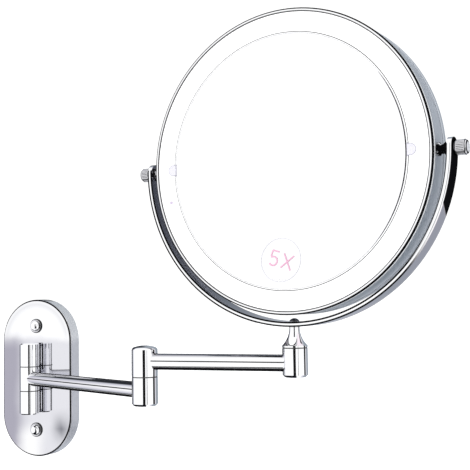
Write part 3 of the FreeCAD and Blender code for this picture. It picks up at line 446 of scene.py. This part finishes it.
def plate_lines(graph, colour):
    """The wall plate carries painted reflections of the room: soft lilac and pale shades, a painted dark
    reflection low on the right, and a painted dark line along its front edge.
    """
    low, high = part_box("wall_plate")
    half = high.x
    straight = high.z - half
    east, north, up = graph.parts(graph.place())
    past = graph.math("MAXIMUM", graph.math("SUBTRACT", graph.math("ABSOLUTE", up), straight), 0.0)
    radius = graph.hypotenuse(east, past)
    cloud = graph.both(graph.math("SUBTRACT", graph.noise(26.0, 3.0), 0.5), 14 * MM)
    east_soft = graph.math("ADD", east, cloud)
    up_soft = graph.math("ADD", up, cloud)
    left = graph.slope(east_soft, -26 * MM, -6 * MM, 1.0, 0.0)
    lilac = graph.both(left, graph.slope(up_soft, 44 * MM, 22 * MM))
    pale = graph.both(graph.slope(up_soft, 38 * MM, 30 * MM), 0.8)
    bottom = graph.both(
        graph.slope(up_soft, -38 * MM, -52 * MM), graph.band(east_soft, -6 * MM, 9 * MM, 8 * MM)
    )
    dark_reflection_patch = graph.both(
        graph.band(east_soft, 26 * MM, 6 * MM, 10 * MM), graph.band(up_soft, -44 * MM, 6 * MM, 14 * MM)
    )
    shoulder = graph.both(
        graph.band(radius, 32 * MM, 1 * MM, 5 * MM), graph.slope(up, 26 * MM, 45 * MM), 0.45
    )
    # Painted reflections of the room: pale grey, lilac, a pale patch low in the middle, a grey shoulder and
    # a dark patch low on the right.
    colour = graph.mix(pale, colour, (0.66, 0.66, 0.71, 1.0))
    colour = graph.mix(lilac, colour, (0.38, 0.37, 0.44, 1.0))
    colour = graph.mix(graph.both(bottom, 0.8), colour, grey(0.95))
    colour = graph.mix(shoulder, colour, (0.40, 0.40, 0.45, 1.0))
    colour = graph.mix(dark_reflection_patch, colour, (0.04, 0.045, 0.07, 1.0))
    line = graph.both(
        graph.slope(radius, half - 1.45 * MM, half - 1.25 * MM),
        graph.slope(north, low.y + 0.9 * MM, low.y + 0.7 * MM),
    )
    return colour, line


def plate_white(graph):
    """Painted reflection: the plate's side is painted partly with the tent's white all the way round."""
    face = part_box("wall_plate")[0].y
    _, north, _ = graph.parts(graph.place())
    return graph.both(graph.slope(north, face + 1.2 * MM, face + 1.8 * MM), 0.45)


def brushed_steel():
    """Turned plain steel: fine lines round each pin, and a duller grey than the plating."""
    material, graph = new_material("plain_steel")
    lines = graph.noise(900.0, 3.0, (1.0, 1.0, 0.05))
    graph.surface(
        principled(
            graph,
            Base_Color=graph.mix(lines, grey(0.42), grey(0.62)),
            Metallic=1.0,
            Roughness=graph.slope(lines, 0.3, 0.7, 0.22, 0.4),
            Normal=graph.bump(lines, 0.000006),
        )
    )
    return material


def moulded(name, colour, shade, roughness):
    """Moulded plastic with a fine moulding grain and slight cloudiness."""
    material, graph = new_material(name)
    cloud = graph.noise(60.0, 3.0)
    fine = graph.noise(1800.0, 2.0)
    graph.surface(
        principled(
            graph,
            Base_Color=graph.mix(cloud, colour, shade),
            Roughness=graph.slope(fine, 0.3, 0.7, roughness * 0.85, roughness * 1.15),
            Normal=graph.bump(fine, 0.00001),
        )
    )
    return material


def light_cover():
    """Frosted white diffuser, lit softly from within, with a painted shade line at a fine step near its
    inner edge.
    """
    material, graph = new_material("frosted_cover")
    frost = graph.noise(1400.0, 3.0)
    glow = graph.slope(graph.noise(24.0, 1.0), 0.2, 0.8, 0.9, 1.0)
    radius, _, _, _ = graph.head_place()
    step_radius = half_height("glass_bezel") + 1.2 * MM
    step = graph.both(graph.band(radius, step_radius, 0.2 * MM, 0.15 * MM), 0.55)
    colour = graph.mix(step, graph.mix(glow, grey(0.93), grey(0.97)), grey(0.30))
    graph.surface(
        principled(
            graph,
            Base_Color=colour,
            Roughness=graph.slope(frost, 0.3, 0.7, 0.4, 0.55),
            Emission_Color=(1.0, 1.0, 0.995, 1.0),
            Emission_Strength=graph.slope(step, 0.0, 1.0, 0.35, 0.0),
            Normal=graph.bump(frost, 0.000004),
        )
    )
    return material


def silvered_glass(name, tint):
    """A polished mirror: silver behind clear glass, with the faintest cleaning haze."""
    material, graph = new_material(name)
    haze = graph.slope(graph.noise(9.0, 3.0), 0.4, 0.8, 0.0, 0.025)
    graph.surface(
        principled(
            graph,
            Base_Color=graph.mix(graph.noise(3.0, 1.0), grey(0.97), tint),
            Metallic=1.0,
            Roughness=haze,
        )
    )
    return material


def screw_lines(graph, colour):
    """A painted shade line round the foot of each wall screw's dome."""
    _, north, _ = graph.parts(graph.place())
    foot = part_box("screw_washers")[0].y
    line = graph.band(north, foot - 0.9 * MM, 0.45 * MM, 0.2 * MM)
    return colour, graph.both(line, 0.9)


def washer_lines(graph, colour):
    """The wall screws' washers get a painted dark reflection round their edge."""
    east, _, up = graph.parts(graph.place())
    low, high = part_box("screw_washers")
    half = (high.x - low.x) / 2
    off = graph.math("SUBTRACT", graph.math("ABSOLUTE", up), high.z - half)
    radius = graph.hypotenuse(east, off)
    return colour, graph.both(graph.slope(radius, half - 0.75 * MM, half - 0.55 * MM), 0.95)


def spacer_lines(graph, colour):
    """Painted reflections: the waisted spacers get painted black patches for the dark and bright things all
    round.
    """
    return colour, graph.slope(graph.noise(210.0, 1.0), 0.44, 0.50)


def band_painted_blue_grey():
    """The casing band: partly metallic with a soft satin sheen, its even blue-grey a painted reflection."""
    material, graph = new_material("band_painted_blue_grey")
    grain = graph.noise(900.0, 3.0)
    graph.surface(
        principled(
            graph,
            Base_Color=graph.mix(grain, (0.54, 0.58, 0.63, 1.0), (0.62, 0.65, 0.70, 1.0)),
            Metallic=0.6,
            Roughness=graph.slope(grain, 0.3, 0.7, 0.30, 0.38),
            Normal=graph.bump(grain, 0.000004),
        )
    )
    return material


def bezel_plastic():
    """Clear ring round the glass: milky, with a thin painted shade line along its inner edge, and a faint
    painted glow elsewhere.
    """
    material, graph = new_material("bezel_plastic")
    radius, _, _, _ = graph.head_place()
    outer = half_height("glass_bezel")
    inside = graph.slope(radius, outer - 0.75 * MM, outer - 0.95 * MM)
    cloud = graph.noise(200.0, 2.0)
    white = graph.mix(cloud, grey(0.93), grey(0.98))
    colour = graph.mix(graph.both(inside, 0.9), white, (0.20, 0.20, 0.21, 1.0))
    # Painted light: a faint glow outside the inner shade line.
    glow = graph.both(graph.math("SUBTRACT", 1.0, inside), 0.35)
    graph.surface(
        principled(
            graph,
            Base_Color=colour,
            Roughness=0.2,
            Emission_Color=grey(1.0),
            Emission_Strength=glow,
        )
    )
    return material


def carrier_plastic():
    """Clear plastic of the glass's ring, with milky finger tabs that carry a painted shade line along their
    rims.
    """
    material, graph = new_material("carrier_plastic")
    _, _, across, height = graph.head_place()
    off = graph.math("MAXIMUM", graph.math("SUBTRACT", graph.math("ABSOLUTE", across), TAB_MIDDLE), 0.0)
    rim = graph.band(graph.hypotenuse(off, height), TAB_RADIUS - 0.15 * MM, 0.25 * MM, 0.15 * MM)
    cloud = graph.noise(200.0, 2.0)
    milk = graph.mix(cloud, (0.72, 0.71, 0.78, 1.0), (0.79, 0.78, 0.85, 1.0))
    tab = graph.slope(graph.math("ABSOLUTE", height), TAB_RADIUS + 0.7 * MM, TAB_RADIUS + 0.3 * MM)
    white = graph.mix(tab, grey(0.96), milk)
    graph.surface(
        principled(
            graph,
            Base_Color=graph.mix(graph.both(rim, 0.8), white, (0.36, 0.35, 0.42, 1.0)),
            Roughness=0.2,
            Normal=graph.bump(graph.noise(500.0, 2.0), 0.000008),
        )
    )
    return material


def sticker_film():
    """Clear film, nearly all see-through."""
    material, graph = new_material("sticker_film")
    body = principled(
        graph,
        Base_Color=graph.mix(graph.noise(200.0, 2.0), (0.95, 0.95, 0.99, 1.0), grey(0.97)),
        Roughness=0.12,
        IOR=1.46,
        Normal=graph.bump(graph.noise(500.0, 2.0), 0.000008),
    )
    through = graph.add("BsdfTransparent")
    blend = graph.add("MixShader")
    graph.feed(blend.inputs[0], 0.06)
    graph.feed(blend.inputs[1], through.outputs[0])
    graph.feed(blend.inputs[2], body)
    graph.surface(blend.outputs[0])
    return material


def printed_ink():
    """Thin pink-mauve print, a little uneven where the ink is thin."""
    material, graph = new_material("pink_print")
    thin = graph.noise(700.0, 3.0)
    graph.surface(
        principled(
            graph,
            Base_Color=graph.mix(thin, (0.72, 0.33, 0.50, 1.0), (0.80, 0.50, 0.64, 1.0)),
            Roughness=0.4,
            Normal=graph.bump(thin, 0.000004),
        )
    )
    return material


def cell_sleeve():
    """Printed sleeve of the cells, with a pale band near one end."""
    material, graph = new_material("cell_sleeve")
    along = graph.dot(graph.place(), AXLE)
    stripe = graph.band(along, HEAD_CENTRE.dot(AXLE) - 14 * MM, 3 * MM, 0.1 * MM)
    fine = graph.noise(900.0, 2.0)
    graph.surface(
        principled(
            graph,
            Base_Color=graph.mix(stripe, (0.03, 0.05, 0.11, 1.0), (0.75, 0.6, 0.3, 1.0)),
            Metallic=0.3,
            Roughness=graph.slope(fine, 0.3, 0.7, 0.25, 0.38),
        )
    )
    return material


def circuit_board():
    """White solder mask with the faint raised tracks under it."""
    material, graph = new_material("circuit_board")
    cells = graph.add("TexVoronoi", feature="DISTANCE_TO_EDGE")
    graph.feed(cells.inputs["Vector"], graph.place())
    graph.feed(cells.inputs["Scale"], 160.0)
    track = graph.slope(cells.outputs["Distance"], 0.02, 0.06, 1.0, 0.0)
    graph.surface(
        principled(
            graph,
            Base_Color=graph.mix(track, (0.86, 0.88, 0.84, 1.0), (0.68, 0.74, 0.66, 1.0)),
            Roughness=0.35,
            Normal=graph.bump(track, 0.00003),
        )
    )
    return material


def lamp_face():
    """Small square lamps: yellow phosphor in a white case, glowing softly."""
    material, graph = new_material("lamp_face")
    grain = graph.noise(2500.0, 2.0)
    graph.surface(
        principled(
            graph,
            Base_Color=graph.mix(grain, (0.98, 0.90, 0.55, 1.0), (1.0, 0.96, 0.75, 1.0)),
            Roughness=0.3,
            Emission_Color=(1.0, 0.97, 0.88, 1.0),
            Emission_Strength=1.5,
        )
    )
    return material


def foam():
    """Dark foam tape with its open pores."""
    material, graph = new_material("foam_tape")
    pores = graph.noise(2200.0, 4.0)
    graph.surface(
        principled(
            graph,
            Base_Color=graph.mix(pores, grey(0.03), grey(0.10)),
            Roughness=0.95,
            Normal=graph.bump(pores, 0.0002),
        )
    )
    return material


def dress(material, *names):
    """Puts a material on CAD nodes."""
    for name in names:
        for place in NODES[name].material_slots:
            place.material = material


def dress_all():
    """Every CAD node's material."""
    plate = chrome("plate_chrome", wave=0.00002, lines=plate_lines, white=plate_white, close=5 * MM)
    dress(plate, "wall_plate")
    dress(
        chrome("chrome"),
        "hinge_knuckle_upper", "hinge_knuckle_lower", "hinge_caps", "lower_arm_knuckle",
        "elbow_lower_barrel", "elbow_cap", "elbow_upper_barrel", "swivel_barrel", "swivel_cap",
        "swivel_neck",
    )
    dress(chrome("tube_chrome", lines=tube_lines), "lower_arm_tube", "upper_arm_tube")
    dress(chrome("screw_chrome", lines=screw_lines), "wall_screws")
    # The washers' darker tint is a painted dark reflection.
    dress(chrome("washer_chrome", (0.6, 0.6, 0.63, 1.0), lines=washer_lines), "screw_washers")
    dress(chrome("dark_chrome", (0.13, 0.13, 0.15, 1.0)), "knob_washers", "yoke_screw")
    dress(chrome("spacer_chrome", wave=0.0001, lines=spacer_lines), "tilt_spacers")
    dress(chrome("trim_chrome", lines=trim_lines, white=trim_white, close=None), "front_trim_ring")
    dress(chrome("yoke_chrome", lines=yoke_lines, close=None), "yoke")
    dress(band_painted_blue_grey(), "casing_band", "back_trim_ring")
    knobs = chrome("knob_chrome", (0.75, 0.75, 0.78, 1.0), lines=knurl_lines, white=knob_white, close=None)
    dress(knobs, "thumb_knob_right", "thumb_knob_left")
    dress(
        brushed_steel(),
        "bracket_screws", "hinge_pin", "elbow_pin", "elbow_spring_washer", "swivel_screw",
        "swivel_lock_washer", "tilt_studs", "battery_contacts",
    )
    dress(
        moulded("black_nylon", grey(0.03), grey(0.05), 0.45),
        "hinge_washers", "elbow_washer", "swivel_washer", "tilt_friction_washers",
    )
    dress(moulded("white_tray", grey(0.86), grey(0.80), 0.5), "light_tray")
    dress(moulded("black_cradle", grey(0.05), grey(0.08), 0.5), "battery_cradle")
    dress(light_cover(), "light_ring_cover")
    dress(silvered_glass("back_silver", (0.94, 0.95, 0.96, 1.0)), "back_glass")
    dress(bezel_plastic(), "glass_bezel")
    dress(carrier_plastic(), "glass_carrier")
    dress(moulded("touch_spot", (0.55, 0.47, 0.62, 1.0), (0.62, 0.55, 0.68, 1.0), 0.3), "touch_switch")
    dress(sticker_film(), "magnifier_sticker")
    dress(circuit_board(), "lamp_board", "control_board")
    dress(lamp_face(), "lamps")
    dress(cell_sleeve(), "battery_cells")
    dress(foam(), "back_glass_pad")


# ------------------------------------------------------------ the hollow glass

GLASS_ROWS = 30
GLASS_COLUMNS = 240


def link_piece(name, mesh):
    """Puts a mesh under construction into the scene as an object."""
    data = bpy.data.meshes.new(name)
    mesh.to_mesh(data)
    mesh.free()
    piece = bpy.data.objects.new(name, data)
    bpy.context.scene.collection.objects.link(piece)
    return piece


def glass_outline():
    """Half the glass's section, from the middle of its front round its edge to the middle of its back."""
    back, front = (end - HEAD_CENTRE.dot(FRONT) for end in reach("magnifying_glass", FRONT))
    edge = half_height("magnifying_glass")
    soft = 0.3 * MM
    inset = 0.01 * MM
    radii = [(edge - soft) * row / GLASS_ROWS for row in range(GLASS_ROWS + 1)]
    hollow = [radius ** 2 / (2 * GLASS_CURVE) for radius in radii]
    outline = [(radius, front - hollow[-1] + rise) for radius, rise in zip(radii, hollow)]
    outline.append((edge, front - soft))
    outline.append((edge, front - GLASS_THICKNESS + 2 * inset))
    outline += [(radius, back + inset + rise) for radius, rise in zip(radii[-2::-1], hollow[-2::-1])]
    return outline


def turned(outline):
    """A closed mesh made by turning an outline of radii and heights round the upright axis."""
    mesh = bmesh.new()
    rings = []
    for radius, height in outline:
        if radius == 0.0:
            rings.append([mesh.verts.new((0.0, 0.0, height))])
            continue
        steps = (2 * math.pi * column / GLASS_COLUMNS for column in range(GLASS_COLUMNS))
        rings.append([mesh.verts.new((radius * math.cos(a), radius * math.sin(a), height)) for a in steps])
    for first, second in zip(rings, rings[1:]):
        for column in range(GLASS_COLUMNS):
            following = (column + 1) % GLASS_COLUMNS
            corners = [first[column % len(first)], second[column % len(second)]]
            corners += [second[following % len(second)], first[following % len(first)]]
            mesh.faces.new(list(dict.fromkeys(corners)))
    bmesh.ops.recalc_face_normals(mesh, faces=mesh.faces)
    return mesh


def add_hollow_glass():
    """The magnifying glass, turned finely enough that its hollow face reflects without a ripple."""
    glass = link_piece("hollow_glass", turned(glass_outline()))
    glass.data.transform(head_frame(HEAD_CENTRE))
    for face in glass.data.polygons:
        face.use_smooth = True
    glass.data.materials.append(silvered_glass("magnifier_silver", (0.95, 0.95, 0.985, 1.0)))
    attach(glass, "magnifier")
    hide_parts("magnifying_glass")


# ------------------------------------------------------ the magnifier's mark

MARK_TURN = math.radians(-16.0)
MARK_HEIGHT = 10.4 * MM
MARK_STROKE = 1.1 * MM
MARK_GAP = 0.50 * MARK_HEIGHT
MARK_THICKNESS = 0.04 * MM
MARK_OUTLINE_WIDTH = 0.3 * MM
STICKER_RADIUS = 15.7 * MM


def lay_on_sticker(data):
    """Lowers or lifts a flat mesh, point by point, on to the hollow face of the sticker."""
    sticker = NODES["magnifier_sticker"].data
    face = BVHTree.FromPolygons(
        [vertex.co for vertex in sticker.vertices], [polygon.vertices for polygon in sticker.polygons]
    )
    start = 20 * MM
    clear = 0.01 * MM
    level = middle("magnifier_sticker").dot(FRONT)
    for vertex in data.vertices:
        above = vertex.co.dot(FRONT) - level
        hit, _, _, _ = face.ray_cast(vertex.co + FRONT * start, -FRONT)
        if hit:
            vertex.co = hit + FRONT * (above + clear)


def stroke(mesh, points, width, closed=False):
    """A flat raised line of even width through points on the sticker."""
    count = len(points)
    rows = []
    for index, point in enumerate(points):
        before = points[index - 1] if index or closed else point
        after = points[(index + 1) % count] if index + 1 < count or closed else point
        run = (after - before).normalized()
        side = Vector((-run.y, run.x, 0.0)) * width / 2
        lift = Vector((0.0, 0.0, MARK_THICKNESS))
        corners = (point - side, point + side, point + side + lift, point - side + lift)
        rows.append([mesh.verts.new(corner) for corner in corners])
    pairs = list(zip(rows, rows[1:])) + ([(rows[-1], rows[0])] if closed else [])
    for first, second in pairs:
        for index in range(4):
            following = (index + 1) % 4
            mesh.faces.new((first[index], second[index], second[following], first[following]))
    if not closed:
        mesh.faces.new(rows[0])
        mesh.faces.new(reversed(rows[-1]))


def arc_points(centre, radius, start, end, steps):
    """Points along an arc, between two angles in degrees."""
    angles = [math.radians(start + (end - start) * step / steps) for step in range(steps + 1)]
    return [centre + Vector((math.cos(a), math.sin(a), 0.0)) * radius for a in angles]


def sticker_piece(name, build, material, matrix):
    """A printed piece made by build(mesh), placed by matrix and laid on the sticker."""
    mesh = bmesh.new()
    build(mesh)
    bmesh.ops.recalc_face_normals(mesh, faces=mesh.faces)
    piece = link_piece(name, mesh)
    piece.data.transform(matrix)
    lay_on_sticker(piece.data)
    piece.data.materials.append(material)
    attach(piece, "magnifier")


def figure_five(mesh):
    """A plain five: a flag, a short upright and a round bowl."""
    half = MARK_HEIGHT / 2
    left = -0.28 * MARK_HEIGHT
    bowl = 0.30 * MARK_HEIGHT
    corner = Vector((left, 0.06 * MARK_HEIGHT, 0.0))
    stroke(mesh, [Vector((0.24 * MARK_HEIGHT, half, 0.0)), Vector((left, half, 0.0))], MARK_STROKE)
    stroke(mesh, [Vector((left, half, 0.0)), corner], MARK_STROKE)
    centre = Vector((-0.04 * MARK_HEIGHT, bowl - half, 0.0))
    stroke(mesh, arc_points(centre, bowl, 140.0, -140.0, 28), MARK_STROKE)


def letter_cross(mesh):
    """Two straight strokes that cross, as a times sign."""
    half = MARK_HEIGHT / 2
    arm = 0.38 * MARK_HEIGHT
    for lean in (-1.0, 1.0):
        foot = Vector((-arm * lean, -half, 0.0))
        top = Vector((arm * lean, half, 0.0))
        stroke(mesh, [foot, top], MARK_STROKE)


def sticker_outline(mesh):
    """The thin line round the sticker's edge."""
    ring = arc_points(Vector(), STICKER_RADIUS - MARK_OUTLINE_WIDTH, 0.0, 360.0, 96)[:-1]
    stroke(mesh, ring, MARK_OUTLINE_WIDTH, closed=True)


def add_mark():
    """The magnification figure and the line round it, printed on the sticker."""
    base = head_frame(middle("magnifier_sticker"))
    leaning = base @ Matrix.Rotation(MARK_TURN, 4, "Z")
    ink = printed_ink()
    for name, build, side in (("mark_figure", figure_five, -1.0), ("mark_times", letter_cross, 1.0)):
        place = leaning @ Matrix.Translation((side * MARK_GAP, 0.0, 0.0))
        sticker_piece(name, build, ink, place)
    rim = moulded("sticker_rim", (0.60, 0.60, 0.66, 1.0), (0.68, 0.68, 0.74, 1.0), 0.4)
    sticker_piece("sticker_outline", sticker_outline, rim, base)


# ---------------------------------------------------------- studio and camera

STUDIO_WHITE = 1.12
DARK = (0.008, 0.008, 0.012, 1.0)

# The level direction across the dark mat under the part, and which way the tent's dim far side is.
ACROSS_MAT = (0.63, 0.776, 0.0)
FAR_SIDE = (-0.4226, 0.906, 0.0)

# The black card behind the lens: where its middle is, and a point that it faces.
CARD_MIDDLE = Vector((495.0, -877.0, 60.0)) * MM
CARD_AIM = Vector((190.0, -80.0, 60.0)) * MM


def degrees_band(graph, angle, start, end, soft):
    """One where an angle lies between two azimuths or elevations in degrees."""
    centre, half = math.radians((start + end) / 2), math.radians((end - start) / 2)
    return graph.band(angle, centre, half, math.radians(soft))


def paint_studio():
    """White all round for the lens. Gloss sees a white tent with a few black cards and a dim far side."""
    world = bpy.data.worlds.new("studio")
    bpy.context.scene.world = world
    graph = Graph(world)
    direction = graph.add("TexCoord").outputs["Generated"]
    east, north, rise = graph.parts(direction)
    azimuth = graph.math("ARCTAN2", east, graph.math("MULTIPLY", north, -1.0))
    elevation = graph.math("ARCSINE", rise)

    # A narrow and a wide black card, both standing, and a black mat below.
    tall = graph.band(elevation, 0.0, math.radians(40.0), math.radians(3.0))
    pole = graph.both(tall, degrees_band(graph, azimuth, 108.0, 128.0, 0.8))
    flag = graph.both(tall, degrees_band(graph, azimuth, -150.0, -98.0, 4.0))
    under = graph.math("MULTIPLY", graph.dot(direction, ACROSS_MAT), -1.0)
    mat = degrees_band(graph, graph.math("ARCTAN2", rise, under), -97.0, -53.0, 1.5)

    ramp = graph.add("ValToRGB")
    graph.feed(ramp.inputs[0], graph.dot(direction, FAR_SIDE))
    stops = (
        (0.22, (1.0, 1.0, 1.0, 1.0)),
        (0.36, (0.62, 0.61, 0.68, 1.0)),
        (0.52, (0.30, 0.33, 0.37, 1.0)),
        (0.86, (0.28, 0.32, 0.36, 1.0)),
        (1.00, (0.42, 0.45, 0.50, 1.0)),
    )
    elements = ramp.color_ramp.elements
    while len(elements) < len(stops):
        elements.new(0.5)
    for element, (position, colour) in zip(elements, stops):
        element.position = position
        element.color = colour
    black = graph.either(pole, graph.both(flag, 0.9), mat)
    gloss = graph.mix(black, ramp.outputs["Color"], DARK)

    lens = graph.add("LightPath").outputs["Is Camera Ray"]
    colour = graph.mix(lens, gloss, grey(1.0))
    background = graph.add("Background")
    graph.feed(background.inputs["Color"], colour)
    graph.feed(background.inputs["Strength"], STUDIO_WHITE)
    graph.feed(graph.add("OutputWorld").inputs["Surface"], background.outputs[0])


def add_floor():
    """A plain pale floor, well under the part, which hangs on a wall."""
    low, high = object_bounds()
    drop = 0.25
    half = 12.0
    mesh = bmesh.new()
    bmesh.ops.create_grid(mesh, x_segments=1, y_segments=1, size=half)
    floor = link_piece("floor", mesh)
    floor.location = ((low.x + high.x) / 2, (low.y + high.y) / 2, low.z - drop)
    material, graph = new_material("pale_floor")
    graph.surface(
        principled(
            graph,
            Base_Color=graph.mix(graph.noise(2.0, 2.0), grey(0.95), grey(0.97)),
            Roughness=0.9,
            Emission_Color=grey(1.0),
            Emission_Strength=0.6,
        )
    )
    floor.data.materials.append(material)
    floor.visible_glossy = False


def add_card():
    """A tall black card close behind the lens, which only gloss sees. It draws a line down every barrel."""
    width, height, thickness = 340 * MM, 1400 * MM, 4 * MM
    mesh = bmesh.new()
    bmesh.ops.create_cube(mesh, size=1.0)
    bmesh.ops.scale(mesh, vec=(width, thickness, height), verts=mesh.verts)
    bmesh.ops.bevel(mesh, geom=mesh.edges, offset=1 * MM, segments=2, affect="EDGES")
    card = link_piece("black_card", mesh)
    facing = (CARD_AIM - CARD_MIDDLE).to_track_quat("Y", "Z").to_matrix().to_4x4()
    card.matrix_world = Matrix.Translation(CARD_MIDDLE) @ facing
    material, graph = new_material("black_card")
    weave = graph.noise(500.0, 2.0)
    graph.surface(principled(graph, Base_Color=graph.mix(weave, grey(0.003), grey(0.006)), Roughness=0.9))
    card.data.materials.append(material)
    card.visible_camera = False
    card.visible_diffuse = False
    card.visible_transmission = False
    card.visible_shadow = False


def add_camera():
    """The camera, aimed by its azimuth, elevation and roll."""
    back = Vector(
        (
            math.sin(CAMERA_AZIMUTH) * math.cos(CAMERA_ELEVATION),
            -math.cos(CAMERA_AZIMUTH) * math.cos(CAMERA_ELEVATION),
            math.sin(CAMERA_ELEVATION),
        )
    )
    data = bpy.data.cameras.new("camera")
    data.sensor_width = CAMERA_SENSOR
    data.lens = CAMERA_LENS
    data.clip_start = 0.01
    camera = bpy.data.objects.new("camera", data)
    bpy.context.scene.collection.objects.link(camera)
    facing = (-back).to_track_quat("-Z", "Y").to_matrix().to_4x4()
    place = Matrix.Translation(CAMERA_TARGET + back * CAMERA_DISTANCE)
    camera.matrix_world = place @ facing @ Matrix.Rotation(CAMERA_ROLL, 4, "Z")
    bpy.context.scene.camera = camera


dress_all()
add_hollow_glass()
add_mark()
paint_studio()
add_floor()
add_card()
add_camera()
bpy.context.scene.view_settings.view_transform = "Standard"
